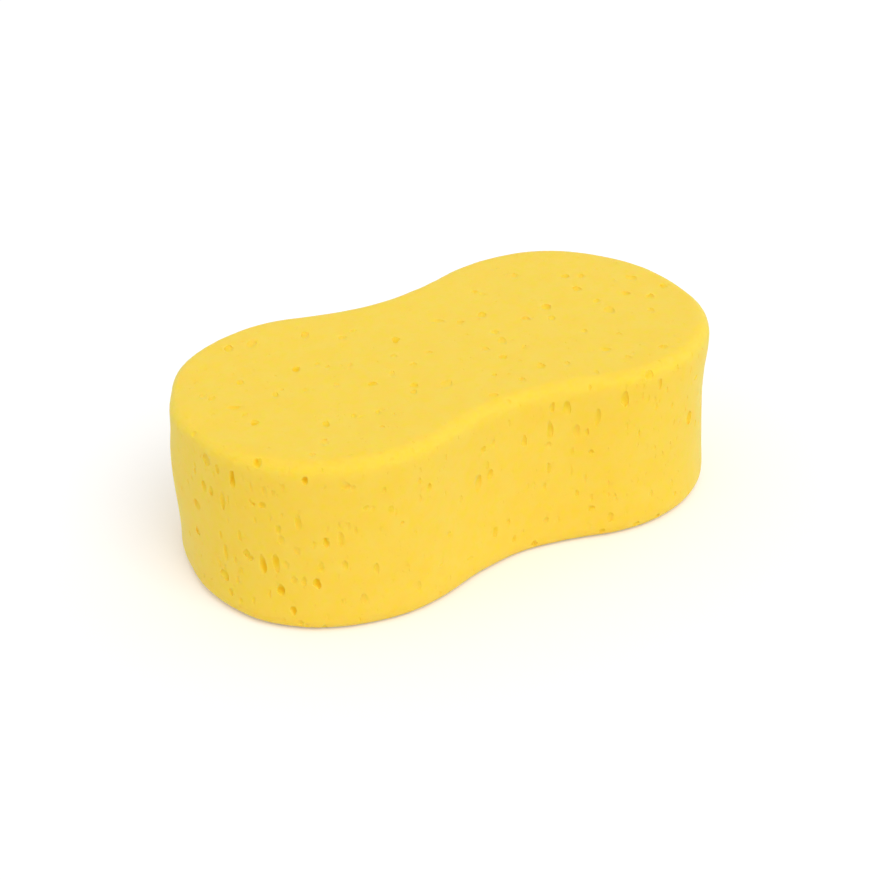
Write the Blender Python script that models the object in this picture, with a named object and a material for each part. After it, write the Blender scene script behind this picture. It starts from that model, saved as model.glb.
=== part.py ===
"""Figure-of-eight sponge: one block of open-cell foam with a waist for the hand.

The block stands on its base, long side along X and thickness along Z, with its origin at the
middle of the base. The outline is three arcs that touch one another, mirrored into four
quarters: a wide arc round each end, a tighter arc at each shoulder and a hollow arc at each
waist. The foam has risen along Z, so its bubbles are cut open as tall slots in the wall and
as small round pits in the top and the base.
"""

from collections import namedtuple
from math import atan2, ceil, copysign, cos, pi, radians, sin, sqrt, tau
from random import Random

import bmesh
import bpy
from mathutils import Matrix, Vector

# Block, in metres
LENGTH = 0.220
LOBE_WIDTH = 0.120
WAIST_WIDTH = 0.100
THICKNESS = 0.070
END_RADIUS = 0.082
SHOULDER_RADIUS = 0.056
RIM_RADIUS = 0.0045
WALL_HOLLOW = 0.0009

# Slots in the wall, in metres
SLOT_PITCH = 0.0098
SLOT_WIDTH_LEAST = 0.0013
SLOT_WIDTH_MOST = 0.0025
SLOT_HEIGHT_LEAST = 0.0024
SLOT_HEIGHT_MOST = 0.0046
THIN_WAIST_REACH = 0.030
THIN_WAIST_SHARE = 0.35

# Pits in the top and the base, in metres
TOP_PITCH = 0.0132
BASE_PITCH = 0.0190
PIT_WIDTH_LEAST = 0.0011
PIT_WIDTH_MOST = 0.0022
BARE_REST_SPOT = 0.010

# All pores
PORE_SEED = 11
PORE_GAP = 0.0015
PORE_DEPTH_SHARE = 0.7
MOUTH_RISE_SHARE = 0.15
SLOT_TILT = radians(9)

# Facets
OUTLINE_STEP = 0.0062
RIM_FACETS = 2
WALL_LEVELS = 3
PORE_SIDES = 6
PORE_BANDS = 4
SHARP_ANGLE = radians(35)
WELD_DISTANCE = 0.00001

# Foam
FOAM_COLOUR = (0.95, 0.66, 0.075, 1.0)
FOAM_ROUGHNESS = 0.95

UP = Vector((0.0, 0.0, 1.0))
DOWN = -UP

Arc = namedtuple("Arc", "centre radius first_turn last_turn")
Pore = namedtuple("Pore", "place outward upright width height")


def clear_scene():
    """Remove the objects that a new file starts with."""
    for thing in list(bpy.data.objects):
        bpy.data.objects.remove(thing, do_unlink=True)


def add_collection(name):
    """Add a collection to the scene and return it."""
    collection = bpy.data.collections.new(name)
    bpy.context.scene.collection.children.link(collection)
    return collection


def direction(turn):
    """Return the unit vector in the plan at this angle from +X."""
    return Vector((cos(turn), sin(turn)))


def quarter_arcs():
    """Return the arcs from the tip of the +X end to the middle of the +Y waist.

    An arc's turns are the angles of its outward normal, and the hollow waist has a negative
    radius. The shoulder's centre follows from where its arc touches the end's, and the
    waist's radius from where its arc touches the shoulder's.
    """
    end_centre = Vector((LENGTH / 2 - END_RADIUS, 0.0))
    shoulder_y = LOBE_WIDTH / 2 - SHOULDER_RADIUS
    shoulder_x = end_centre.x + sqrt((END_RADIUS - SHOULDER_RADIUS) ** 2 - shoulder_y**2)
    shoulder_centre = Vector((shoulder_x, shoulder_y))
    waist_depth = (LOBE_WIDTH - WAIST_WIDTH) / 2
    waist_radius = (shoulder_x**2 + waist_depth**2) / (2 * waist_depth) - SHOULDER_RADIUS
    waist_centre = Vector((0.0, WAIST_WIDTH / 2 + waist_radius))
    to_shoulder = shoulder_centre - end_centre
    to_waist = waist_centre - shoulder_centre
    end_turn = atan2(to_shoulder.y, to_shoulder.x)
    shoulder_turn = atan2(to_waist.y, to_waist.x)
    return (
        Arc(end_centre, END_RADIUS, 0.0, end_turn),
        Arc(shoulder_centre, SHOULDER_RADIUS, end_turn, shoulder_turn),
        Arc(waist_centre, -waist_radius, shoulder_turn, pi / 2),
    )


ARCS = quarter_arcs()


def arc_length(arc):
    """Return the length of one arc of the outline."""
    return arc.radius * (arc.last_turn - arc.first_turn)


QUARTER_LENGTH = sum(arc_length(arc) for arc in ARCS)


def quarter_point(along, inset):
    """Return the point and the outward normal at a distance along the first quarter."""
    for arc in ARCS:
        length = arc_length(arc)
        if along <= length or arc is ARCS[-1]:
            break
        along -= length
    normal = direction(arc.first_turn + along / arc.radius)
    return arc.centre + (arc.radius - inset) * normal, normal


def outline_point(along, inset=0.0):
    """Return the point and the outward normal at a distance along the whole outline."""
    quarter, rest = divmod(along, QUARTER_LENGTH)
    mirrored = quarter in (1, 3)
    point, normal = quarter_point(QUARTER_LENGTH - rest if mirrored else rest, inset)
    flip = Vector((-1.0 if quarter in (1, 2) else 1.0, -1.0 if quarter in (2, 3) else 1.0))
    return point * flip, normal * flip


def half_width(x, inset):
    """Return how far the outline, drawn in by the inset, reaches from the X axis at this x."""
    for arc in ARCS:
        reach = arc.radius - inset
        if abs(x) >= arc.centre.x + reach * cos(arc.last_turn):
            break
    rise = sqrt(max(reach**2 - (abs(x) - arc.centre.x) ** 2, 0.0))
    return arc.centre.y + copysign(rise, reach)


def block_curve():
    """Return a filled outline with the block's thickness and its two rounded rims."""
    curve = bpy.data.curves.new("block_outline", "CURVE")
    curve.dimensions = "2D"
    curve.fill_mode = "BOTH"
    curve.extrude = THICKNESS / 2 - RIM_RADIUS
    curve.bevel_depth = RIM_RADIUS
    curve.bevel_resolution = RIM_FACETS
    steps = 4 * ceil(QUARTER_LENGTH / OUTLINE_STEP)
    spline = curve.splines.new("POLY")
    spline.points.add(steps - 1)
    for index, corner in enumerate(spline.points):
        point, _ = outline_point(4 * QUARTER_LENGTH * index / steps, RIM_RADIUS)
        corner.co = (point.x, point.y, 0.0, 1.0)
    spline.use_cyclic_u = True
    return bpy.data.objects.new("block_outline", curve)


def draw_in_wall(shape):
    """Cut levels into the straight part of the wall and draw them in, most at mid height."""
    straight_half = THICKNESS / 2 - RIM_RADIUS
    heights = [straight_half * (2 * level / (WALL_LEVELS + 1) - 1) for level in range(1, WALL_LEVELS + 1)]
    for height in heights:
        bmesh.ops.bisect_plane(
            shape,
            geom=shape.verts[:] + shape.edges[:] + shape.faces[:],
            plane_co=UP * height,
            plane_no=UP,
        )
    shape.normal_update()
    for vertex in shape.verts:
        share = vertex.co.z / straight_half
        if abs(share) < 1 - WELD_DISTANCE / straight_half:
            vertex.co -= vertex.normal * WALL_HOLLOW * (1 - share**2)


def make_block(collection):
    """Make the solid block, before any pore is cut, and return its object."""
    outline = block_curve()
    collection.objects.link(outline)
    outline.location.z = THICKNESS / 2
    bpy.context.view_layer.update()
    evaluated = outline.evaluated_get(bpy.context.evaluated_depsgraph_get())
    mesh = bpy.data.meshes.new_from_object(evaluated)
    mesh.name = "sponge_body"
    block = bpy.data.objects.new("sponge_body", mesh)
    block.matrix_world = outline.matrix_world
    collection.objects.link(block)
    bpy.data.objects.remove(outline, do_unlink=True)
    shape = bmesh.new()
    shape.from_mesh(mesh)
    bmesh.ops.remove_doubles(shape, verts=shape.verts, dist=WELD_DISTANCE)
    draw_in_wall(shape)
    shape.to_mesh(mesh)
    shape.free()
    return block


def mostly_small(rng, least, most):
    """Draw a size between two limits, most often near the least."""
    return rng.triangular(least, most, least)


def clear_of(pore, others):
    """Tell whether a pore keeps its gap to all the others."""
    for other in others:
        room = (pore.height + other.height) / 2 + PORE_GAP
        if (pore.place - other.place).length < room:
            return False
    return True


def wall_slots(rng):
    """Scatter tall slots over the wall, between the two rims."""
    slots = []
    perimeter = 4 * QUARTER_LENGTH
    straight = THICKNESS - 2 * RIM_RADIUS
    for _ in range(ceil(perimeter * straight / SLOT_PITCH**2)):
        point, normal = outline_point(rng.uniform(0.0, perimeter))
        at_waist = abs(point.x) < THIN_WAIST_REACH
        kept = rng.random() < (THIN_WAIST_SHARE if at_waist else 1.0)
        outward = normal.to_3d()
        height = rng.uniform(RIM_RADIUS, THICKNESS - RIM_RADIUS)
        lean = Matrix.Rotation(rng.uniform(-SLOT_TILT, SLOT_TILT), 3, outward)
        slot = Pore(
            place=point.to_3d() + UP * height,
            outward=outward,
            upright=lean @ UP,
            width=mostly_small(rng, SLOT_WIDTH_LEAST, SLOT_WIDTH_MOST),
            height=mostly_small(rng, SLOT_HEIGHT_LEAST, SLOT_HEIGHT_MOST),
        )
        if kept and clear_of(slot, slots):
            slots.append(slot)
    return slots


def face_pits(rng, level, outward, pitch, bare_spot):
    """Scatter round pits over a flat face, inside its rim and outside a bare middle spot."""
    pits = []
    for _ in range(ceil(LENGTH * LOBE_WIDTH / pitch**2)):
        spot = Vector((rng.uniform(-0.5, 0.5) * LENGTH, rng.uniform(-0.5, 0.5) * LOBE_WIDTH))
        across = mostly_small(rng, PIT_WIDTH_LEAST, PIT_WIDTH_MOST)
        turn = rng.uniform(0.0, tau)
        pit = Pore(
            place=spot.to_3d() + UP * level,
            outward=outward,
            upright=direction(turn).to_3d(),
            width=across,
            height=mostly_small(rng, across, PIT_WIDTH_MOST),
        )
        margin = RIM_RADIUS + PIT_WIDTH_MOST
        inside = abs(spot.x) < LENGTH / 2 - margin and abs(spot.y) < half_width(spot.x, margin)
        if inside and spot.length > bare_spot and clear_of(pit, pits):
            pits.append(pit)
    return pits


def pore_matrix(pore):
    """Return the placing of a unit ball, its pole on the surface's normal, for one pore."""
    side = pore.upright.cross(pore.outward)
    depth = PORE_DEPTH_SHARE * pore.width
    centre = pore.place + MOUTH_RISE_SHARE * depth * pore.outward
    frame = Matrix((side, pore.upright, pore.outward)).transposed().to_4x4()
    return Matrix.Translation(centre) @ frame @ Matrix.Diagonal((pore.width / 2, pore.height / 2, depth, 1.0))


def make_pore_cutter(pores, collection):
    """Make one cutter that holds a ball for every pore."""
    shape = bmesh.new()
    for pore in pores:
        bmesh.ops.create_uvsphere(
            shape,
            u_segments=PORE_SIDES,
            v_segments=PORE_BANDS,
            radius=1.0,
            matrix=pore_matrix(pore),
        )
    mesh = bpy.data.meshes.new("foam_bubbles")
    shape.to_mesh(mesh)
    shape.free()
    cutter = bpy.data.objects.new("foam_bubbles", mesh)
    cutter.hide_render = True
    cutter.display_type = "WIRE"
    collection.objects.link(cutter)
    return cutter


def cut_pores(block, cutter):
    """Cut the pores into the block for good, and shade it smooth up to their sharp mouths."""
    cut = block.modifiers.new("open_pores", "BOOLEAN")
    cut.operation = "DIFFERENCE"
    cut.solver = "EXACT"
    cut.object = cutter
    bpy.context.view_layer.update()
    evaluated = block.evaluated_get(bpy.context.evaluated_depsgraph_get())
    mesh = bpy.data.meshes.new_from_object(evaluated)
    block.modifiers.clear()
    block.data = mesh
    mesh.shade_smooth()
    mesh.set_sharp_from_angle(angle=SHARP_ANGLE)


def foam_material():
    """Return the dull yellow of the foam."""
    material = bpy.data.materials.new("yellow_foam")
    material.use_nodes = True
    shader = material.node_tree.nodes["Principled BSDF"]
    shader.inputs["Base Color"].default_value = FOAM_COLOUR
    shader.inputs["Roughness"].default_value = FOAM_ROUGHNESS
    shader.inputs["Metallic"].default_value = 0.0
    material.diffuse_color = FOAM_COLOUR
    return material


def main():
    """Build the sponge."""
    clear_scene()
    sponge = add_collection("sponge")
    cutters = add_collection("cutters")
    rng = Random(PORE_SEED)
    pores = wall_slots(rng)
    pores += face_pits(rng, THICKNESS, UP, TOP_PITCH, 0.0)
    pores += face_pits(rng, 0.0, DOWN, BASE_PITCH, BARE_REST_SPOT)
    block = make_block(sponge)
    cut_pores(block, make_pore_cutter(pores, cutters))
    block.data.materials.clear()
    block.data.materials.append(foam_material())


if __name__ == "__main__":
    main()
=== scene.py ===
"""Dress the figure-of-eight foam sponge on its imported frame.

The frame gives the sponge's box. The block is drawn as three touching arcs a quarter, raised,
rounded at its rims, remeshed evenly and given the small unevenness of cut foam. Its open pores
are cut into the mesh: those that the photograph shows clearly stand where it shows them, and the
rest are scattered. All lengths are metres, except where a name says pixels.
"""

import logging
import math
from bisect import bisect_left
from collections.abc import Iterator
from dataclasses import dataclass, field
from enum import Enum
from itertools import accumulate
from random import Random

import bmesh
import bpy
from mathutils import Matrix, Vector, noise
from mathutils.bvhtree import BVHTree
from mathutils.kdtree import KDTree


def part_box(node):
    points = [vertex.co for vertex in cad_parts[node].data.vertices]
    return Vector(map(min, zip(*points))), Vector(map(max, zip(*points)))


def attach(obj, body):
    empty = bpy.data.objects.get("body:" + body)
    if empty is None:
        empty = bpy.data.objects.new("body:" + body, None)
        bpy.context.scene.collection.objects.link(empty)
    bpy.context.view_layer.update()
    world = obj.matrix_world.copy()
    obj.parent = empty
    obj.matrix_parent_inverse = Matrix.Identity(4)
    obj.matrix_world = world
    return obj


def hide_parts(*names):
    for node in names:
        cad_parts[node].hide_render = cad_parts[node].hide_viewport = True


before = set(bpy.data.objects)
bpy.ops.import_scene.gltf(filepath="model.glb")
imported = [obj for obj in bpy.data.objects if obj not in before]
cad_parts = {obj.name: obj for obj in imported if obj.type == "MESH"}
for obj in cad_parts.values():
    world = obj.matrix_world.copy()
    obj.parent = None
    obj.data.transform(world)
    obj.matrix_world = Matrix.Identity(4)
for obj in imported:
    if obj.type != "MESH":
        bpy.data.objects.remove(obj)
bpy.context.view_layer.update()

NODE = "sponge_body"
BODY = "root"
SLOT = "yellow_foam"
UP = Vector((0.0, 0.0, 1.0))
LOG = logging.getLogger("sponge")

Colour = tuple[float, float, float, float]
Mark = tuple[int, int, int, int]


def deselect_all() -> None:
    """Leave nothing selected, so that the next operator acts on new things alone."""
    bpy.ops.object.select_all(action="DESELECT")


def make_active(thing: bpy.types.Object) -> None:
    """Select one object alone and make it the active one.

    Args:
        thing: The object.
    """
    deselect_all()
    thing.select_set(True)
    bpy.context.view_layer.objects.active = thing


def pick_level_edges(thing: bpy.types.Object, level: float, gap: float) -> None:
    """Select, in edit mode, the edges that lie at one height.

    Args:
        thing: The object that is in edit mode.
        level: The height.
        gap: How far from it an edge's ends may be.
    """
    bpy.ops.mesh.select_all(action="DESELECT")
    shape = bmesh.from_edit_mesh(thing.data)
    for edge in shape.edges:
        if all(abs(vertex.co.z - level) < gap for vertex in edge.verts):
            edge.select_set(True)
    bmesh.update_edit_mesh(thing.data)


def apply_modifier(thing: bpy.types.Object, kind: str, **settings: object) -> None:
    """Add a modifier with these settings and apply it at once.

    Args:
        thing: The object to change.
        kind: The modifier's type.
        settings: The modifier's properties and their values.
    """
    make_active(thing)
    modifier = thing.modifiers.new(kind.lower(), kind)
    for name, value in settings.items():
        setattr(modifier, name, value)
    bpy.ops.object.modifier_apply(modifier=modifier.name)


@dataclass(frozen=True)
class PhotoView:
    """The camera's place and lens, worked out from the photograph's outline of the block."""

    azimuth: float = math.radians(-31.58)
    elevation: float = math.radians(29.53)
    roll: float = math.radians(-1.55)
    distance: float = 0.7631
    focal_pixels: float = 1949.3
    image_pixels: float = 880.0
    right_pixels: float = 6.84
    down_pixels: float = -14.32
    sensor_mm: float = 36.0
    near: float = 0.01
    far: float = 50.0

    def place(self, target: Vector) -> Matrix:
        """Return the camera's matrix when it looks at a target.

        Args:
            target: The point that the camera looks at.

        Returns:
            The placing of the camera, rolled about its own axis.
        """
        level = math.cos(self.elevation)
        back = Vector(
            (
                math.sin(self.azimuth) * level,
                -math.cos(self.azimuth) * level,
                math.sin(self.elevation),
            )
        )
        right = Vector((math.cos(self.azimuth), math.sin(self.azimuth), 0.0))
        axes = Matrix((right, back.cross(right), back)).transposed().to_4x4()
        spot = Matrix.Translation(target + back * self.distance)
        return spot @ axes @ Matrix.Rotation(self.roll, 4, "Z")

    def ray(self, across: float, down: float, target: Vector) -> tuple[Vector, Vector]:
        """Return where the line through a pixel of the photograph starts and heads.

        Args:
            across: The pixel's distance from the image's left edge.
            down: The pixel's distance from the image's top edge.
            target: The point that the camera looks at.

        Returns:
            The camera's place and the line's unit direction.
        """
        half = self.image_pixels / 2
        heading = Vector(
            (
                (across - half - self.right_pixels) / self.focal_pixels,
                -(down - half - self.down_pixels) / self.focal_pixels,
                -1.0,
            )
        )
        placing = self.place(target)
        return placing.translation, (placing.to_3x3() @ heading).normalized()

    def add_camera(self, target: Vector) -> None:
        """Add the camera at the photograph's viewing angle and make it the scene's.

        Args:
            target: The point that the camera looks at.
        """
        deselect_all()
        bpy.ops.object.camera_add()
        camera = bpy.context.object
        camera.name = "photo_camera"
        camera.matrix_world = self.place(target)
        camera.data.sensor_width = self.sensor_mm
        camera.data.lens = self.focal_pixels / self.image_pixels * self.sensor_mm
        camera.data.shift_x = -self.right_pixels / self.image_pixels
        camera.data.shift_y = self.down_pixels / self.image_pixels
        camera.data.clip_start = self.near
        camera.data.clip_end = self.far
        bpy.context.scene.camera = camera


@dataclass(frozen=True)
class Arc:
    """One arc of the outline. Its turns are the angles of its outward normal."""

    centre: Vector
    radius: float
    first_turn: float
    last_turn: float

    @property
    def turn(self) -> float:
        """Return the angle that the arc turns through."""
        return self.last_turn - self.first_turn


@dataclass(frozen=True)
class Swell:
    """A soft rise or dent of the surface round one place."""

    place: tuple[float, float, float]
    reach: float
    rise: float


@dataclass
class FoamBlock:
    """The block of foam before its pores are cut."""

    length: float
    lobe_width: float
    thickness: float
    waist_width: float = 0.100
    end_radius: float = 0.082
    shoulder_radius: float = 0.056
    rim_radius: float = 0.0045
    rim_steps: int = 5
    rim_profile: float = 0.5
    arc_step: float = 0.003
    mirror_merge: float = 0.00075
    grid: float = 0.0022
    smoothing: int = 3
    smooth_strength: float = 0.5
    wall_hollow: float = 0.0009
    wave_length: float = 0.030
    wave_height: float = 0.00035
    ripple_length: float = 0.009
    ripple_height: float = 0.00010
    level_gap: float = 0.00001
    swells: tuple[Swell, ...] = (
        Swell(place=(-0.106, 0.022, 0.041), reach=0.017, rise=0.0015),
        Swell(place=(-0.102, 0.031, 0.068), reach=0.013, rise=-0.0015),
        Swell(place=(-0.109, -0.004, 0.069), reach=0.014, rise=-0.0010),
        Swell(place=(-0.108, 0.014, 0.005), reach=0.014, rise=-0.0009),
        Swell(place=(-0.066, -0.057, 0.002), reach=0.016, rise=-0.0006),
        Swell(place=(-0.091, -0.043, 0.002), reach=0.014, rise=0.0005),
        Swell(place=(0.094, -0.043, 0.062), reach=0.009, rise=0.0009),
        Swell(place=(0.093, -0.043, 0.039), reach=0.011, rise=-0.0005),
        Swell(place=(-0.045, 0.054, 0.069), reach=0.022, rise=0.0006),
        Swell(place=(-0.018, 0.049, 0.069), reach=0.014, rise=0.0003),
        Swell(place=(0.022, 0.050, 0.069), reach=0.018, rise=0.0006),
        Swell(place=(0.080, 0.049, 0.069), reach=0.019, rise=0.0006),
        Swell(place=(0.107, -0.006, 0.069), reach=0.022, rise=-0.0005),
        Swell(place=(0.004, -0.048, 0.002), reach=0.010, rise=-0.0007),
        Swell(place=(-0.030, -0.054, 0.002), reach=0.010, rise=0.0006),
        Swell(place=(-0.101, -0.031, 0.002), reach=0.010, rise=0.0007),
    )

    def arcs(self) -> tuple[Arc, ...]:
        """Return a quarter of the outline, from the tip of the +X end to the +Y waist.

        Returns:
            The arcs of the end, the shoulder and the hollow waist, which has a negative radius.
        """
        end = Vector((self.length / 2 - self.end_radius, 0.0))
        shoulder_y = self.lobe_width / 2 - self.shoulder_radius
        run = math.sqrt((self.end_radius - self.shoulder_radius) ** 2 - shoulder_y**2)
        shoulder = Vector((end.x + run, shoulder_y))
        depth = (self.lobe_width - self.waist_width) / 2
        waist_radius = (shoulder.x**2 + depth**2) / (2 * depth) - self.shoulder_radius
        waist = Vector((0.0, self.waist_width / 2 + waist_radius))
        end_turn = math.atan2(shoulder.y - end.y, shoulder.x - end.x)
        shoulder_turn = math.atan2(waist.y - shoulder.y, waist.x - shoulder.x)
        return (
            Arc(end, self.end_radius, 0.0, end_turn),
            Arc(shoulder, self.shoulder_radius, end_turn, shoulder_turn),
            Arc(waist, -waist_radius, shoulder_turn, math.pi / 2),
        )

    def draw_outline(self) -> bpy.types.Object:
        """Spin one corner along the three arcs, and mirror the quarter into the whole outline.

        Returns:
            A flat object with one face, the sponge seen from above.
        """
        deselect_all()
        bpy.ops.mesh.primitive_plane_add(size=self.arc_step, location=(self.length / 2, 0.0, 0.0))
        outline = bpy.context.object
        outline.name = "foam_sponge"
        bpy.ops.object.transform_apply(location=True, rotation=True, scale=True)
        bpy.ops.object.mode_set(mode="EDIT")
        bpy.ops.mesh.select_all(action="SELECT")
        bpy.ops.mesh.merge(type="CENTER")
        for arc in self.arcs():
            bpy.ops.mesh.spin(
                steps=math.ceil(abs(arc.radius * arc.turn) / self.arc_step),
                angle=-arc.turn,
                center=arc.centre.to_3d(),
                axis=UP,
            )
        bpy.ops.object.mode_set(mode="OBJECT")
        apply_modifier(
            outline,
            "MIRROR",
            use_axis=(True, True, False),
            use_clip=True,
            merge_threshold=self.mirror_merge,
        )
        bpy.ops.object.mode_set(mode="EDIT")
        bpy.ops.mesh.select_all(action="SELECT")
        bpy.ops.mesh.edge_face_add()
        return outline

    def raise_walls(self, block: bpy.types.Object) -> None:
        """Extrude the outline to the block's thickness and round its two rims.

        Args:
            block: The outline, in edit mode with its face selected.
        """
        bpy.ops.mesh.extrude_region_move(TRANSFORM_OT_translate={"value": UP * self.thickness})
        for level in (0.0, self.thickness):
            pick_level_edges(block, level, self.level_gap)
            bpy.ops.mesh.bevel(
                offset=self.rim_radius,
                segments=self.rim_steps,
                profile=self.rim_profile,
                affect="EDGES",
            )
        bpy.ops.mesh.select_all(action="SELECT")
        bpy.ops.mesh.normals_make_consistent(inside=False)
        bpy.ops.object.mode_set(mode="OBJECT")

    def remesh(self, block: bpy.types.Object) -> None:
        """Cover the block with an even grid of small faces, and smooth the grid's steps away.

        Args:
            block: The closed block.
        """
        make_active(block)
        block.data.remesh_voxel_size = self.grid
        bpy.ops.object.voxel_remesh()
        apply_modifier(
            block, "SMOOTH", factor=self.smooth_strength, iterations=self.smoothing
        )

    def lift(self, place: Vector, normal: Vector) -> float:
        """Return how far the surface stands proud of its true shape at one place.

        Args:
            place: The place on the surface.
            normal: The outward direction there.

        Returns:
            The wall's hollow, two sizes of waviness and the swells together.
        """
        low, high = self.rim_radius, self.thickness - self.rim_radius
        share = max(-1.0, min(1.0, (2 * place.z - low - high) / (high - low)))
        lift = -self.wall_hollow * (1 - share**2) * (1 - abs(normal.z))
        lift += self.wave_height * noise.noise(place / self.wave_length)
        lift += self.ripple_height * noise.noise(place / self.ripple_length)
        for swell in self.swells:
            away = (place - Vector(swell.place)).length / swell.reach
            lift += swell.rise * math.exp(-(away**2))
        return lift

    def settle(self, block: bpy.types.Object) -> None:
        """Move the surface a little along its normals, as cut foam is never quite true.

        Args:
            block: The remeshed block. Its base stays flat, because it stands on it.
        """
        moved = []
        for vertex in block.data.vertices:
            place = vertex.co.copy()
            step = vertex.normal * self.lift(place, vertex.normal)
            step.z *= min(1.0, max(0.0, place.z / self.rim_radius))
            moved.append(place + step)
        for vertex, place in zip(block.data.vertices, moved):
            vertex.co = (place.x, place.y, max(0.0, place.z))
        block.data.update()

    def build(self) -> bpy.types.Object:
        """Model the block, without its pores.

        Returns:
            The closed block.
        """
        block = self.draw_outline()
        self.raise_walls(block)
        self.remesh(block)
        self.settle(block)
        return block


class Show(Enum):
    """How strongly a pore shows in the photograph, as a share of the deepest painted pore shade."""

    STRONG = 1.0
    CLEAR = 0.6
    FAINT = 0.25


# Pores picked in the photograph: middle across, middle down, width and height in pixels.
MARKED_PORES: dict[Show, tuple[Mark, ...]] = {
    Show.STRONG: (
        (257, 463, 8, 11), (232, 479, 6, 15), (263, 565, 7, 17), (276, 563, 6, 16),
        (317, 583, 7, 11), (281, 590, 7, 10), (294, 611, 6, 9), (326, 543, 6, 9),
        (305, 481, 6, 9), (296, 369, 7, 7), (255, 423, 8, 5), (396, 340, 7, 7),
        (326, 424, 7, 8),
    ),
    Show.CLEAR: (
        (524, 441, 5, 11), (552, 408, 5, 8), (567, 408, 7, 14), (625, 399, 8, 12),
        (597, 418, 6, 14), (550, 430, 6, 16), (649, 376, 7, 13), (610, 517, 6, 8),
        (217, 469, 4, 8), (204, 486, 5, 10), (211, 491, 4, 10), (223, 501, 5, 14),
        (250, 501, 3, 4), (253, 504, 4, 4), (262, 505, 7, 6), (255, 520, 3, 7),
        (278, 529, 6, 8), (298, 523, 6, 15), (240, 536, 4, 10), (226, 552, 4, 17),
        (247, 554, 6, 8), (251, 558, 5, 6), (225, 575, 8, 8), (231, 592, 5, 7),
        (304, 582, 5, 9), (270, 594, 3, 8), (254, 601, 3, 7), (341, 540, 6, 14),
        (345, 565, 5, 10), (376, 569, 5, 10), (342, 602, 3, 6), (366, 508, 5, 5),
        (391, 510, 5, 8), (402, 523, 4, 4), (356, 531, 3, 7), (429, 488, 5, 8),
        (483, 450, 5, 6), (490, 474, 6, 8), (508, 522, 4, 6), (495, 532, 5, 9),
        (514, 539, 4, 7), (549, 468, 5, 10), (590, 387, 4, 5), (587, 432, 4, 7),
        (591, 452, 5, 5), (577, 493, 4, 6), (615, 495, 3, 3), (660, 384, 4, 9),
        (696, 377, 3, 4), (689, 418, 5, 13), (639, 433, 3, 7), (591, 508, 6, 5),
        (228, 349, 9, 7), (240, 383, 7, 5), (275, 395, 6, 5), (212, 399, 6, 6),
        (234, 408, 13, 4), (305, 335, 8, 6), (327, 367, 4, 3), (372, 384, 9, 4),
        (414, 385, 8, 4), (414, 392, 6, 6), (378, 412, 5, 4), (354, 416, 5, 4),
        (394, 414, 3, 3), (413, 364, 6, 3), (475, 292, 6, 3), (482, 315, 8, 6),
        (495, 332, 7, 4), (503, 357, 7, 4), (494, 375, 5, 3), (494, 395, 8, 4),
        (565, 276, 7, 4), (581, 276, 6, 7), (577, 289, 8, 5), (597, 301, 6, 6),
        (546, 307, 8, 8), (552, 318, 6, 5), (524, 347, 5, 5), (541, 366, 8, 6),
        (663, 286, 7, 5), (626, 293, 8, 4), (650, 296, 7, 6), (663, 347, 8, 4),
        (282, 515, 3, 4), (221, 535, 3, 8), (301, 623, 5, 5), (307, 626, 4, 5),
        (325, 627, 5, 5), (534, 544, 6, 5), (602, 531, 6, 4), (636, 524, 6, 4),
        (657, 516, 5, 4), (441, 565, 4, 3), (470, 558, 5, 3),
    ),
    Show.FAINT: (
        (206, 459, 7, 11), (197, 504, 6, 9), (251, 487, 3, 9), (264, 491, 5, 9),
        (273, 493, 4, 6), (283, 488, 4, 7), (281, 540, 7, 9), (236, 561, 5, 7),
        (286, 565, 5, 7), (294, 580, 6, 8), (314, 545, 4, 7), (297, 551, 6, 8),
        (321, 567, 6, 9), (364, 599, 7, 9), (419, 586, 4, 8), (346, 486, 8, 7),
        (384, 490, 4, 6), (420, 498, 3, 8), (478, 483, 7, 14), (544, 486, 4, 6),
        (546, 520, 5, 5), (571, 471, 3, 9), (608, 483, 3, 6), (627, 426, 3, 6),
        (576, 431, 7, 12), (585, 478, 3, 8), (548, 445, 6, 5), (656, 406, 3, 6),
        (672, 405, 3, 6), (591, 498, 3, 7), (251, 344, 10, 8), (203, 396, 6, 5),
        (245, 415, 6, 4), (194, 434, 4, 5), (317, 364, 5, 3), (342, 338, 8, 4),
        (353, 331, 6, 3), (350, 365, 5, 4), (394, 356, 6, 4), (336, 385, 6, 4),
        (306, 390, 5, 4), (392, 374, 6, 8), (502, 341, 8, 6), (460, 323, 7, 6),
        (438, 321, 10, 4), (446, 384, 10, 7), (515, 276, 7, 5), (609, 310, 10, 7),
        (526, 319, 8, 4), (567, 364, 6, 4), (596, 372, 5, 5), (606, 350, 10, 4),
        (631, 278, 10, 5), (325, 442, 8, 5), (195, 471, 3, 6), (228, 499, 2, 9),
        (270, 518, 3, 7), (198, 531, 4, 6), (238, 580, 4, 7), (242, 571, 3, 6),
        (241, 601, 4, 6), (339, 526, 3, 6), (353, 488, 4, 6), (373, 508, 3, 5),
        (419, 481, 4, 6), (449, 534, 4, 4), (461, 499, 3, 6), (523, 531, 2, 3),
        (534, 486, 2, 7), (493, 443, 4, 6), (522, 380, 6, 4), (508, 402, 6, 4),
        (667, 390, 3, 6), (651, 493, 3, 5), (675, 494, 3, 5), (282, 390, 5, 2),
        (429, 353, 6, 4), (482, 294, 6, 3), (382, 427, 5, 2), (486, 349, 6, 4),
        (584, 331, 6, 4), (651, 310, 6, 4), (619, 334, 5, 3), (628, 357, 6, 3),
        (312, 455, 6, 4), (391, 460, 5, 4),
    ),
}


@dataclass(frozen=True)
class PoreKind:
    """One size of scattered pore: its widths, how many are tried and how round its ball is."""

    name: str
    count: int
    least: float
    most: float
    ball_steps: int
    show: Show
    hidden_only: bool


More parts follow.
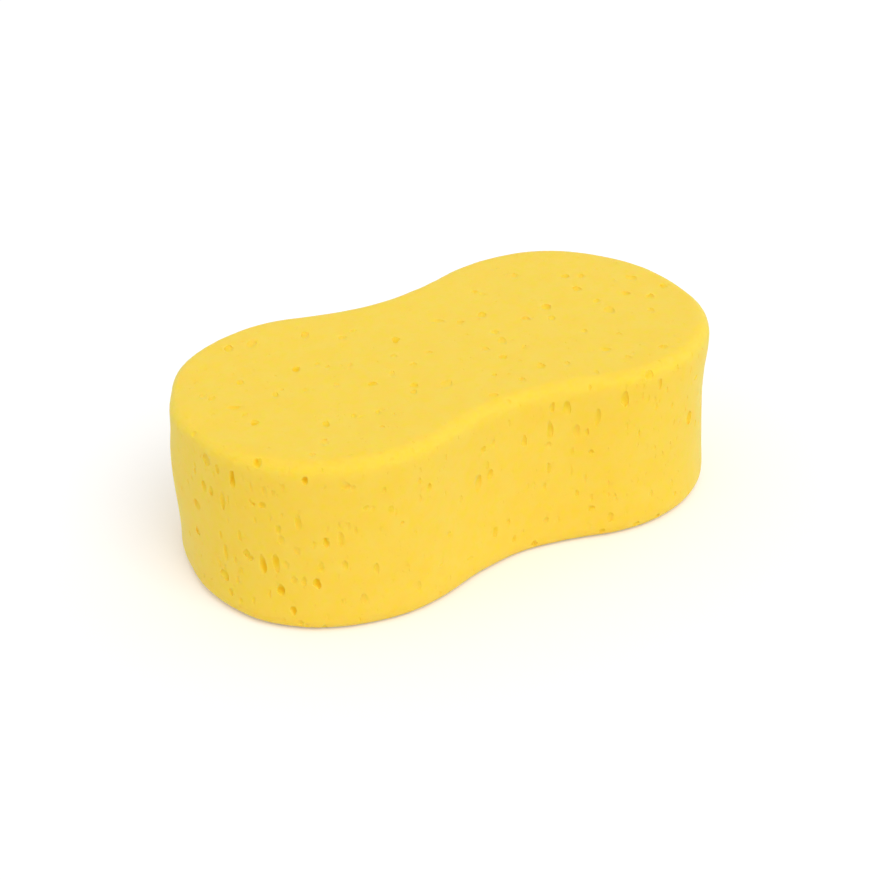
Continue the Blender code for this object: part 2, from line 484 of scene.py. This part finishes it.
@dataclass(frozen=True)
class Pore:
    """One open bubble: where its mouth is, how it is turned, and its sizes."""

    place: Vector
    outward: Vector
    upright: Vector
    width: float
    height: float
    depth: float
    ball_steps: int
    show: float

    @property
    def reach(self) -> float:
        """Return the radius of a ball that holds the whole pore."""
        return max(self.width, self.height) / 2


class Skin:
    """A surface on which places are picked by chance, evenly by area."""

    def __init__(self, mesh: bpy.types.Mesh) -> None:
        """Keep the corners, normals and running areas of a mesh's triangles.

        Args:
            mesh: The mesh whose surface this is.
        """
        mesh.calc_loop_triangles()
        triangles = mesh.loop_triangles
        self.corners = [[mesh.vertices[i].co.copy() for i in each.vertices] for each in triangles]
        self.normals = [each.normal.copy() for each in triangles]
        self.areas = list(accumulate(each.area for each in triangles))

    def spot(self, rng: Random) -> tuple[Vector, Vector]:
        """Return one place on the surface and the outward direction there.

        Args:
            rng: The source of chance.

        Returns:
            The place and its unit normal.
        """
        index = bisect_left(self.areas, rng.random() * self.areas[-1])
        index = min(index, len(self.areas) - 1)
        first, second = sorted((rng.random(), rng.random()))
        a, b, c = self.corners[index]
        return a * first + b * (second - first) + c * (1 - second), self.normals[index]


@dataclass
class PoreField:
    """All the pores of one block, and the way they are cut."""

    view: PhotoView
    target: Vector
    kinds: tuple[PoreKind, ...] = (
        PoreKind("broad", 160, 0.0020, 0.0033, 2, Show.STRONG, True),
        PoreKind("middling", 680, 0.0012, 0.0023, 2, Show.CLEAR, True),
        PoreKind("small", 950, 0.0006, 0.0013, 1, Show.FAINT, False),
        PoreKind("shallow", 520, 0.0010, 0.0022, 1, Show.FAINT, False),
    )
    seed: int = 23
    show_spread: tuple[float, float] = (0.6, 1.0)
    least_facing: float = 0.05
    mark_steps: int = 2
    mark_scale: float = 1.25
    least_pixels: float = 2.4
    least_slant: float = 0.4
    mark_stretch: float = 1.6
    least_depth_share: float = 0.18
    most_depth_share: float = 0.46
    face_depth_share: float = 0.75
    face_slope: float = 0.7
    mouth_rise: float = 0.15
    unevenness: float = 0.45
    lump_scale: float = 1.1
    lump_reach: float = 50.0
    wall_stretch: tuple[float, float] = (1.5, 2.6)
    face_stretch: tuple[float, float] = (1.0, 1.4)
    lean: float = math.radians(11)
    gap: float = 0.0002
    crowd_length: float = 0.022
    crowd_share: float = 0.62
    crowd_swing: float = 0.8
    waist_reach: float = 0.035
    waist_share: float = 0.45
    passes: int = 3
    merge_gap: float = 0.000002
    sliver: float = 0.000005
    clean_rounds: int = 2
    pore_shade_depth: float = 0.0011
    pores: list[Pore] = field(default_factory=list)

    def on_face(self, normal: Vector) -> bool:
        """Tell whether a surface with this normal is the top or the base, and not the wall."""
        return abs(normal.z) > self.face_slope

    def depth(self, width: float, show: float, normal: Vector) -> float:
        """Return a pore's depth, a larger share of its width the more strongly it shows.

        Args:
            width: The pore's width.
            show: How strongly the pore shows.
            normal: The surface's outward direction. Pores in the top and the base are shallower.

        Returns:
            The depth.
        """
        share = self.least_depth_share + (self.most_depth_share - self.least_depth_share) * show
        return width * share * (self.face_depth_share if self.on_face(normal) else 1.0)

    def upright(self, normal: Vector, rng: Random) -> Vector:
        """Return the direction that a scattered pore is long in.

        Args:
            normal: The surface's outward direction.
            rng: The source of chance.

        Returns:
            Near enough up on the wall, and any direction on the top and the base.
        """
        if self.on_face(normal):
            start = Vector((1.0, 0.0, 0.0))
            angle = rng.uniform(0.0, math.tau)
        else:
            start = UP
            angle = rng.uniform(-self.lean, self.lean)
        flat = (start - normal * start.dot(normal)).normalized()
        return Matrix.Rotation(angle, 3, normal) @ flat

    def read_mark(self, surface: BVHTree, mark: Mark, show: float) -> Pore | None:
        """Return the pore behind one mark, sized by how far and how slanted its surface is.

        A pore in the top or the base stays nearly round, however slanted its mark is seen.

        Args:
            surface: The block's surface before any pore is cut.
            mark: The pore's middle across and down, its width and its height, in pixels.
            show: How strongly it shows.

        Returns:
            The pore, or None where the mark misses the block.
        """
        across, down, wide, tall = mark
        start, heading = self.view.ray(across, down, self.target)
        place, normal, _, away = surface.ray_cast(start, heading)
        if place is None:
            return None
        placing = self.view.place(self.target).to_3x3()
        image_right, image_up = placing.col[0], placing.col[1]
        guide = image_right if self.on_face(normal) else UP.cross(normal)
        side = (guide - normal * guide.dot(normal)).normalized()
        upright = normal.cross(side)
        pixel = away / self.view.focal_pixels
        sizes = []
        for extent, axis, image_axis in ((wide, side, image_right), (tall, upright, image_up)):
            clear = max(extent, self.least_pixels) * self.mark_scale
            sizes.append(clear * pixel / max(abs(axis.dot(image_axis)), self.least_slant))
        if self.on_face(normal):
            longest = min(sizes) * self.mark_stretch
            sizes = [min(size, longest) for size in sizes]
        return Pore(
            place=place,
            outward=normal,
            upright=upright,
            width=sizes[0],
            height=sizes[1],
            depth=self.depth(min(sizes), show, normal),
            ball_steps=self.mark_steps,
            show=show,
        )

    def marked(self, surface: BVHTree) -> list[Pore]:
        """Return the pores that the photograph shows, where their pixels meet the block.

        Args:
            surface: The block's surface before any pore is cut.

        Returns:
            One pore for each mark that meets the block, the strongest first.
        """
        found = []
        for show, marks in MARKED_PORES.items():
            for mark in marks:
                pore = self.read_mark(surface, mark, show.value)
                if pore is None:
                    LOG.warning("no foam behind the mark at %s, %s", *mark[:2])
                else:
                    found.append(pore)
        return found

    def welcome(self, place: Vector, rng: Random) -> bool:
        """Tell whether a scattered pore may be here.

        Args:
            place: The pore's place.
            rng: The source of chance.

        Returns:
            True more often inside the loose crowds that pores come in, and less often at the waist.
        """
        crowd = self.crowd_share + self.crowd_swing * noise.noise(place / self.crowd_length)
        waist = self.waist_share if abs(place.x) < self.waist_reach else 1.0
        return rng.random() < crowd * waist

    def chance_pore(self, kind: PoreKind, place: Vector, normal: Vector, rng: Random) -> Pore:
        """Return a scattered pore of one kind at one place.

        Args:
            kind: The kind of pore.
            place: Its place.
            normal: The outward direction there.
            rng: The source of chance.

        Returns:
            The pore, with its own size, turn and depth.
        """
        width = rng.triangular(kind.least, kind.most, kind.least)
        stretch = self.face_stretch if self.on_face(normal) else self.wall_stretch
        show = kind.show.value * rng.uniform(*self.show_spread)
        return Pore(
            place=place,
            outward=normal,
            upright=self.upright(normal, rng),
            width=width,
            height=width * rng.uniform(*stretch),
            depth=self.depth(width, show, normal),
            ball_steps=kind.ball_steps,
            show=show,
        )

    def scattered(self, skin: Skin, rng: Random) -> Iterator[Pore]:
        """Give the pores that the photograph doesn't place, the broadest first.

        Args:
            skin: The block's surface before any pore is cut.
            rng: The source of chance.

        Yields:
            Pores of every kind. The strong and clear pores of the side that the photograph
            shows are all marked, so only the faint kinds fall there too.
        """
        eye = self.view.place(self.target).translation
        for kind in self.kinds:
            LOG.info("%s pores: %d places", kind.name, kind.count)
            left = kind.count
            while left > 0:
                place, normal = skin.spot(rng)
                if not self.welcome(place, rng):
                    continue
                left -= 1
                seen = normal.dot((eye - place).normalized()) > self.least_facing
                if not (seen and kind.hidden_only):
                    yield self.chance_pore(kind, place, normal, rng)

    def clear_of(self, pore: Pore, others: list[Pore]) -> bool:
        """Tell whether a pore touches none of the others.

        Args:
            pore: The pore.
            others: The pores that are there already.

        Returns:
            True where the balls round them stay a gap apart.
        """
        for other in others:
            room = pore.reach + other.reach + self.gap
            if (pore.place - other.place).length_squared < room**2:
                return False
        return True

    def layers(self) -> list[list[Pore]]:
        """Share the pores out, so that those cut in one pass don't touch one another.

        Returns:
            One list of pores for each pass. A pore that fits in no pass is left out.
        """
        shared: list[list[Pore]] = [[] for _ in range(self.passes)]
        kept: list[Pore] = []
        for pore in self.pores:
            for layer in shared:
                if self.clear_of(pore, layer):
                    layer.append(pore)
                    kept.append(pore)
                    break
        self.pores = kept
        return shared

    def make_balls(self) -> dict[int, bpy.types.Object]:
        """Model one round ball of each fineness, which every pore's bubble is copied from.

        Returns:
            The balls, by the steps that they are divided in.
        """
        balls = {}
        for steps in sorted({self.mark_steps, *(kind.ball_steps for kind in self.kinds)}):
            deselect_all()
            bpy.ops.mesh.primitive_ico_sphere_add(subdivisions=steps, radius=1.0)
            balls[steps] = bpy.context.object
        return balls

    def make_bubble(self, pore: Pore, ball: bpy.types.Object, rng: Random) -> bpy.types.Object:
        """Copy a ball, and make it uneven and as large as one pore, in the pore's place.

        Args:
            pore: The pore.
            ball: The round ball.
            rng: The source of chance.

        Returns:
            The bubble, with a mesh of its own.
        """
        bubble = ball.copy()
        bubble.data = ball.data.copy()
        bpy.context.scene.collection.objects.link(bubble)
        side = pore.upright.cross(pore.outward)
        turn = Matrix((side, pore.upright, pore.outward)).transposed()
        centre = pore.place + pore.outward * (self.mouth_rise * pore.depth)
        half = Vector((pore.width / 2, pore.height / 2, pore.depth))
        shift = Vector([rng.uniform(0, self.lump_reach) for _ in range(3)])
        for vertex in bubble.data.vertices:
            lump = noise.noise(vertex.co * self.lump_scale + shift)
            vertex.co = centre + turn @ (vertex.co * half * (1 + self.unevenness * lump))
        return bubble

    def make_cutter(
        self, pores: list[Pore], balls: dict[int, bpy.types.Object], rng: Random
    ) -> bpy.types.Object:
        """Join the bubbles that one pass cuts away.

        Args:
            pores: The pores of the pass.
            balls: The round balls.
            rng: The source of chance.

        Returns:
            One object that holds every bubble.
        """
        bubbles = [self.make_bubble(pore, balls[pore.ball_steps], rng) for pore in pores]
        deselect_all()
        for bubble in bubbles:
            bubble.select_set(True)
        bpy.context.view_layer.objects.active = bubbles[0]
        bpy.ops.object.join()
        return bubbles[0]

    def clean_mouths(self, block: bpy.types.Object) -> None:
        """Share the block's faces out in sound triangles, without the slivers that cutting leaves.

        Args:
            block: The block with its pores cut.
        """
        make_active(block)
        bpy.ops.object.mode_set(mode="EDIT")
        bpy.ops.mesh.select_all(action="SELECT")
        bpy.ops.mesh.remove_doubles(threshold=self.merge_gap)
        for _ in range(self.clean_rounds):
            bpy.ops.mesh.quads_convert_to_tris(quad_method="BEAUTY", ngon_method="BEAUTY")
            bpy.ops.mesh.dissolve_degenerate(threshold=self.sliver)
        bpy.ops.mesh.quads_convert_to_tris(quad_method="BEAUTY", ngon_method="BEAUTY")
        bpy.ops.object.mode_set(mode="OBJECT")

    def rim_highlight_share(self, slope: float) -> float:
        """Return how much a surface belongs to the upper rim, which is where the painted highlight
        goes.

        Args:
            slope: The upward part of the surface's normal, 1 on the top and 0 on the wall.

        Returns:
            A share that is 1 halfway round the rim and 0 on the top, the wall and below.
        """
        most = 0.25
        return max(0.0, slope * (1 - slope) / most)

    def mark_surface(self, block: bpy.types.Object, surface: BVHTree) -> None:
        """Keep, at each point, how strongly its pore's painted shade colours it and how near the
        upper rim it is, which places the rim's painted highlight.

        Args:
            block: The block with its pores cut.
            surface: The block's surface before any pore was cut.
        """
        tree = KDTree(len(self.pores))
        for index, pore in enumerate(self.pores):
            tree.insert(pore.place, index)
        tree.balance()
        mesh = block.data
        pore_shades = mesh.attributes.new("pore_shade", "FLOAT", "POINT").data
        rims = mesh.attributes.new("rim_highlight_share", "FLOAT", "POINT").data
        for vertex, glow, rim in zip(mesh.vertices, pore_shades, rims):
            _, normal, _, depth = surface.find_nearest(vertex.co)
            # Painted shade: the deeper a point lies below the uncut surface, the more of its pore's
            # shade colour it takes.
            share = min(1.0, depth / self.pore_shade_depth)
            glow.value = share * self.pores[tree.find(vertex.co)[1]].show if share > 0 else 0.0
            # How far round the upper rim the point lies, which places the rim's painted highlight.
            rim.value = self.rim_highlight_share(normal.z)

    def cut(self, block: bpy.types.Object) -> None:
        """Place all the pores and cut them into the block.

        Args:
            block: The block to cut.
        """
        rng = Random(self.seed)
        surface = BVHTree.FromObject(block, bpy.context.evaluated_depsgraph_get())
        self.pores = [*self.marked(surface), *self.scattered(Skin(block.data), rng)]
        balls = self.make_balls()
        for layer in self.layers():
            cutter = self.make_cutter(layer, balls, rng)
            apply_modifier(
                block, "BOOLEAN", operation="DIFFERENCE", solver="MANIFOLD", object=cutter
            )
            bpy.data.objects.remove(cutter, do_unlink=True)
        for ball in balls.values():
            bpy.data.objects.remove(ball, do_unlink=True)
        self.clean_mouths(block)
        self.mark_surface(block, surface)


class Shade:
    """A shader socket that takes part in Python arithmetic through Math nodes."""

    def __init__(self, graph: "ShaderGraph", socket: bpy.types.NodeSocket) -> None:
        """Wrap one output socket of a graph."""
        self.graph = graph
        self.socket = socket

    def math(self, operation: str, *values: "Shade | float") -> "Shade":
        """Return the result of a Math node on these values."""
        return self.graph.add("ShaderNodeMath", {"operation": operation}, dict(enumerate(values)))

    def __add__(self, other: "Shade | float") -> "Shade":
        """Return self + other."""
        return self.math("ADD", self, other)

    def __radd__(self, other: float) -> "Shade":
        """Return other + self."""
        return self.math("ADD", other, self)

    def __sub__(self, other: "Shade | float") -> "Shade":
        """Return self - other."""
        return self.math("SUBTRACT", self, other)

    def __rsub__(self, other: float) -> "Shade":
        """Return other - self."""
        return self.math("SUBTRACT", other, self)

    def __mul__(self, other: "Shade | float") -> "Shade":
        """Return self * other."""
        return self.math("MULTIPLY", self, other)

    def __rmul__(self, other: float) -> "Shade":
        """Return other * self."""
        return self.math("MULTIPLY", other, self)

    def span(self, low: float, high: float) -> "Shade":
        """Return 0 below low, 1 above high and a straight run between them."""
        inputs = {"Value": self, "From Min": low, "From Max": high}
        return self.graph.add("ShaderNodeMapRange", {"clamp": True}, inputs)


class ShaderGraph:
    """The node tree of a new material or of the world, filled from Python."""

    # A Mix node has the same sockets for numbers, vectors and colours. These are the colours'.
    MIX_SHARE = 0
    MIX_FIRST = 6
    MIX_SECOND = 7
    MIX_RESULT = 2

    def __init__(self, tree: bpy.types.NodeTree) -> None:
        """Empty the tree."""
        self.tree = tree
        tree.nodes.clear()

    def node(
        self, kind: str, settings: dict[str, object], inputs: dict[str | int, object]
    ) -> bpy.types.Node:
        """Add a node.

        Args:
            kind: The node's type.
            settings: The node's properties, which are set before its inputs.
            inputs: The values or links of its inputs, by name or place.

        Returns:
            The new node.
        """
        made = self.tree.nodes.new(kind)
        for name, value in settings.items():
            setattr(made, name, value)
        for key, value in inputs.items():
            if isinstance(value, Shade):
                self.tree.links.new(value.socket, made.inputs[key])
            else:
                made.inputs[key].default_value = value
        return made

    def add(
        self,
        kind: str,
        settings: dict[str, object],
        inputs: dict[str | int, object],
        output: str | int = 0,
    ) -> Shade:
        """Add a node, as the node method does, and return one of its outputs."""
        return Shade(self, self.node(kind, settings, inputs).outputs[output])

    def mix(self, share: Shade | float, first: object, second: object) -> Shade:
        """Return a mix of two colours.

        Args:
            share: The second colour's share.
            first: A colour or a link to one.
            second: A colour or a link to one.

        Returns:
            The mixed colour.
        """
        settings = {"data_type": "RGBA", "blend_type": "MIX", "clamp_factor": True}
        inputs = {self.MIX_SHARE: share, self.MIX_FIRST: first, self.MIX_SECOND: second}
        return self.add("ShaderNodeMix", settings, inputs, self.MIX_RESULT)


@dataclass(frozen=True)
class Grain:
    """A soft cloudy pattern: its grains' size in metres, and the values that become 0 and 1."""

    size: float
    detail: float
    coarseness: float
    low: float
    high: float

    def shade(self, graph: ShaderGraph, place: Shade) -> Shade:
        """Return the pattern over the surface, as a number from 0 to 1.

        Args:
            graph: The material's nodes.
            place: The place on the object.

        Returns:
            The pattern.
        """
        inputs = {
            "Vector": place,
            "Scale": 1 / self.size,
            "Detail": self.detail,
            "Roughness": self.coarseness,
        }
        return graph.add("ShaderNodeTexNoise", {}, inputs).span(self.low, self.high)


@dataclass(frozen=True)
class FoamFinish:
    """Dull yellow open-cell foam. Its colours are linear, and its grains are metres across."""

    warm: Colour = (1.000, 0.645, 0.066, 1.0)
    cool: Colour = (0.990, 0.667, 0.084, 1.0)
    # Painted highlight: a paler, more lemon colour laid on the upper rim, where the light falls on
    # it.
    rim: Colour = (0.985, 0.715, 0.080, 1.0)
    # Painted shade and bounce light for the pores: a saturated orange that a pore takes the deeper
    # it goes, also used to tint the mottling; the next colour is the darker orange of the deepest
    # pores.
    pore: Colour = (0.940, 0.680, 0.012, 1.0)
    deep_pore_shade: Colour = (0.930, 0.560, 0.010, 1.0)
    speck: Colour = (0.930, 0.590, 0.050, 1.0)
    patches: Grain = Grain(size=0.008, detail=3.0, coarseness=0.6, low=0.35, high=0.65)
    mottling: Grain = Grain(size=0.0030, detail=2.0, coarseness=0.55, low=0.45, high=0.75)
    speck_patches: Grain = Grain(size=0.0063, detail=2.0, coarseness=0.5, low=0.5, high=0.62)
    rim_highlight_strength: float = 0.6
    mottle_depth: float = 0.42
    speck_depth: float = 0.6
    speck_grain: float = 0.0021
    speck_size: float = 0.17
    speck_sink: float = 2.0
    deep_shade_from: float = 0.4
    cell_grain: float = 0.0007
    cell_wall: float = 0.25
    bump_depth: float = 0.00006
    bump_strength: float = 0.5
    roughness: float = 0.89
    rough_spread: float = 0.06
    specular: float = 0.25
    subsurface: float = 0.6
    subsurface_scale: float = 0.003
    subsurface_radius: tuple[float, float, float] = (1.0, 0.5, 0.12)
    sheen: float = 0.30
    sheen_roughness: float = 0.35
    sheen_tint: Colour = (0.66, 0.86, 0.80, 1.0)

    def kept(self, graph: ShaderGraph, name: str) -> Shade:
        """Return a number that the mesh keeps at each of its points."""
        settings = {"attribute_type": "GEOMETRY", "attribute_name": name}
        return graph.add("ShaderNodeAttribute", settings, {}, "Fac")

    def specks(self, graph: ShaderGraph, place: Shade) -> Shade:
        """Return where the foam has its tiny dark specks, which come in patches.

        Args:
            graph: The material's nodes.
            place: The place on the object.

        Returns:
            A number that is 1 in a speck and 0 outside.
        """
        inputs = {"Vector": place, "Scale": 1 / self.speck_grain}
        away = graph.add("ShaderNodeTexVoronoi", {"feature": "F1"}, inputs, "Distance")
        spots = 1 - away.span(self.speck_size / 2, self.speck_size)
        return spots * self.speck_patches.shade(graph, place)

    def relief(self, graph: ShaderGraph, place: Shade, specks: Shade) -> Shade:
        """Return the bumped normal of the foam's fine cells and of its specks.

        Args:
            graph: The material's nodes.
            place: The place on the object.
            specks: Where the specks are.

        Returns:
            The normal.
        """
        settings = {"feature": "DISTANCE_TO_EDGE"}
        inputs = {"Vector": place, "Scale": 1 / self.cell_grain}
        walls = graph.add("ShaderNodeTexVoronoi", settings, inputs, "Distance")
        height = 1 - walls.span(0.0, self.cell_wall) - specks * self.speck_sink
        inputs = {"Strength": self.bump_strength, "Distance": self.bump_depth, "Height": height}
        return graph.add("ShaderNodeBump", {}, inputs, "Normal")

    def material(self) -> bpy.types.Material:
        """Make the foam's material, with painted shade that deepens the colour the deeper a pore
        is, and a painted highlight on the upper rim.

        Returns:
            The material, named as the record's slot.
        """
        made = bpy.data.materials.new(SLOT)
        made.use_nodes = True
        graph = ShaderGraph(made.node_tree)
        place = graph.add("ShaderNodeTexCoord", {}, {}, "Object")
        patches = self.patches.shade(graph, place)
        mottling = self.mottling.shade(graph, place)
        specks = self.specks(graph, place)
        glow = self.kept(graph, "pore_shade")
        colour = graph.mix(patches, self.warm, self.cool)
        # Painted highlight: the upper rim turns paler and more lemon, as if the light fell on it
        # there.
        colour = graph.mix(self.kept(graph, "rim_highlight_share") * self.rim_highlight_strength, colour, self.rim)
        colour = graph.mix(mottling * self.mottle_depth, colour, self.pore)
        colour = graph.mix(specks * self.speck_depth, colour, self.speck)
        # Painted shade and bounce light in the pores: the colour turns saturated orange the deeper
        # a point lies in its pore, and darker orange in the deepest.
        colour = graph.mix(glow, colour, self.pore)
        colour = graph.mix(glow.span(self.deep_shade_from, 1.0), colour, self.deep_pore_shade)
        foam = graph.add(
            "ShaderNodeBsdfPrincipled",
            {"subsurface_method": "RANDOM_WALK"},
            {
                "Base Color": colour,
                "Roughness": patches * self.rough_spread + self.roughness,
                "Normal": self.relief(graph, place, specks),
                "Specular IOR Level": self.specular,
                "Subsurface Weight": self.subsurface,
                "Subsurface Scale": self.subsurface_scale,
                "Subsurface Radius": self.subsurface_radius,
                "Sheen Weight": self.sheen,
                "Sheen Roughness": self.sheen_roughness,
                "Sheen Tint": self.sheen_tint,
            },
        )
        graph.node("ShaderNodeOutputMaterial", {}, {"Surface": foam})
        return made


@dataclass
class Sponge:
    """The foam sponge, modelled and dressed on its CAD body."""

    view: PhotoView
    target: Vector
    finish: FoamFinish = field(default_factory=FoamFinish)
    fill: float = 0.9
    sharp_angle: float = math.radians(40)

    def build(self) -> bpy.types.Object:
        """Model the block, cut its pores and give it its finish.

        Returns:
            The finished piece.
        """
        low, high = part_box(NODE)
        size = high - low
        piece = FoamBlock(length=size.x, lobe_width=size.y, thickness=size.z).build()
        LOG.info("block: %d faces", len(piece.data.polygons))
        pores = PoreField(self.view, self.target)
        pores.cut(piece)
        LOG.info("pores: %d, faces now %d", len(pores.pores), len(piece.data.polygons))
        make_active(piece)
        bpy.ops.object.shade_smooth_by_angle(angle=self.sharp_angle)
        piece.data.materials.clear()
        piece.data.materials.append(self.finish.material())
        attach(piece, BODY)
        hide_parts(NODE)
        return piece


@dataclass(frozen=True)
class Studio:
    """A white floor under soft light, strong enough to show colours as they are written."""

    floor_size: float = 14.0
    floor_colour: Colour = (0.90, 0.90, 0.90, 1.0)
    floor_glow: float = 0.16
    backdrop: Colour = (1.0, 1.0, 1.0, 1.0)
    ambient: float = 0.70
    key_strength: float = 1.19
    key_softness: float = math.radians(45)
    key_direction: tuple[float, float, float] = (-0.02, -0.60, 0.80)

    def floor(self) -> bpy.types.Object:
        """Add the floor, whose lit part the camera sees as white.

        Returns:
            The floor.
        """
        deselect_all()
        bpy.ops.mesh.primitive_plane_add(size=self.floor_size, location=(0.0, 0.0, 0.0))
        floor = bpy.context.object
        floor.name = "studio_floor"
        material = bpy.data.materials.new("studio_floor")
        material.use_nodes = True
        graph = ShaderGraph(material.node_tree)
        camera_only = graph.add("ShaderNodeLightPath", {}, {}, "Is Camera Ray")
        matte = graph.add("ShaderNodeBsdfDiffuse", {}, {"Color": self.floor_colour})
        glow = graph.add("ShaderNodeEmission", {}, {"Strength": camera_only * self.floor_glow})
        surface = graph.add("ShaderNodeAddShader", {}, {0: matte, 1: glow})
        graph.node("ShaderNodeOutputMaterial", {}, {"Surface": surface})
        floor.data.materials.append(material)
        return floor

    def world(self) -> None:
        """Light the scene evenly from all round, and show white behind the floor."""
        world = bpy.data.worlds.new("studio_world")
        bpy.context.scene.world = world
        world.use_nodes = True
        graph = ShaderGraph(world.node_tree)
        path = graph.node("ShaderNodeLightPath", {}, {})
        names = ("Is Camera Ray", "Is Glossy Ray", "Is Transmission Ray")
        camera, glossy, passed = (Shade(graph, path.outputs[name]) for name in names)
        direct = camera.math("MAXIMUM", camera.math("MAXIMUM", camera, glossy), passed)
        strength = direct * (1 - self.ambient) + self.ambient
        inputs = {"Color": self.backdrop, "Strength": strength}
        light = graph.add("ShaderNodeBackground", {}, inputs)
        graph.node("ShaderNodeOutputWorld", {}, {"Surface": light})

    def key_light(self, target: Vector) -> None:
        """Add the broad far lamp in front of the sponge and high above it.

        Args:
            target: The point that the lamp faces.
        """
        deselect_all()
        away = Vector(self.key_direction).normalized()
        bpy.ops.object.light_add(type="SUN", location=target + away)
        lamp = bpy.context.object
        lamp.name = "key_light"
        lamp.rotation_euler = away.to_track_quat("Z", "Y").to_euler()
        lamp.data.angle = self.key_softness
        lamp.data.energy = self.key_strength

    def build(self, target: Vector) -> None:
        """Add the floor, the world and the lamp, and set the plain view transform.

        Args:
            target: The point that the lamp faces.
        """
        self.floor()
        self.world()
        self.key_light(target)
        bpy.context.scene.view_settings.view_transform = "Standard"


def main() -> None:
    """Build the sponge and its studio in order, and report each."""
    logging.basicConfig(level=logging.INFO, format="%(message)s")
    low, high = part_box(NODE)
    target = Vector((0.0, 0.0, (low.z + high.z) / 2))
    view = PhotoView()
    view.add_camera(target)
    sponge = Sponge(view, target).build()
    LOG.info("sponge: %s", sponge.name)
    Studio().build(target)
    LOG.info("studio: floor, world and lamp")


if __name__ == "__main__":
    main()
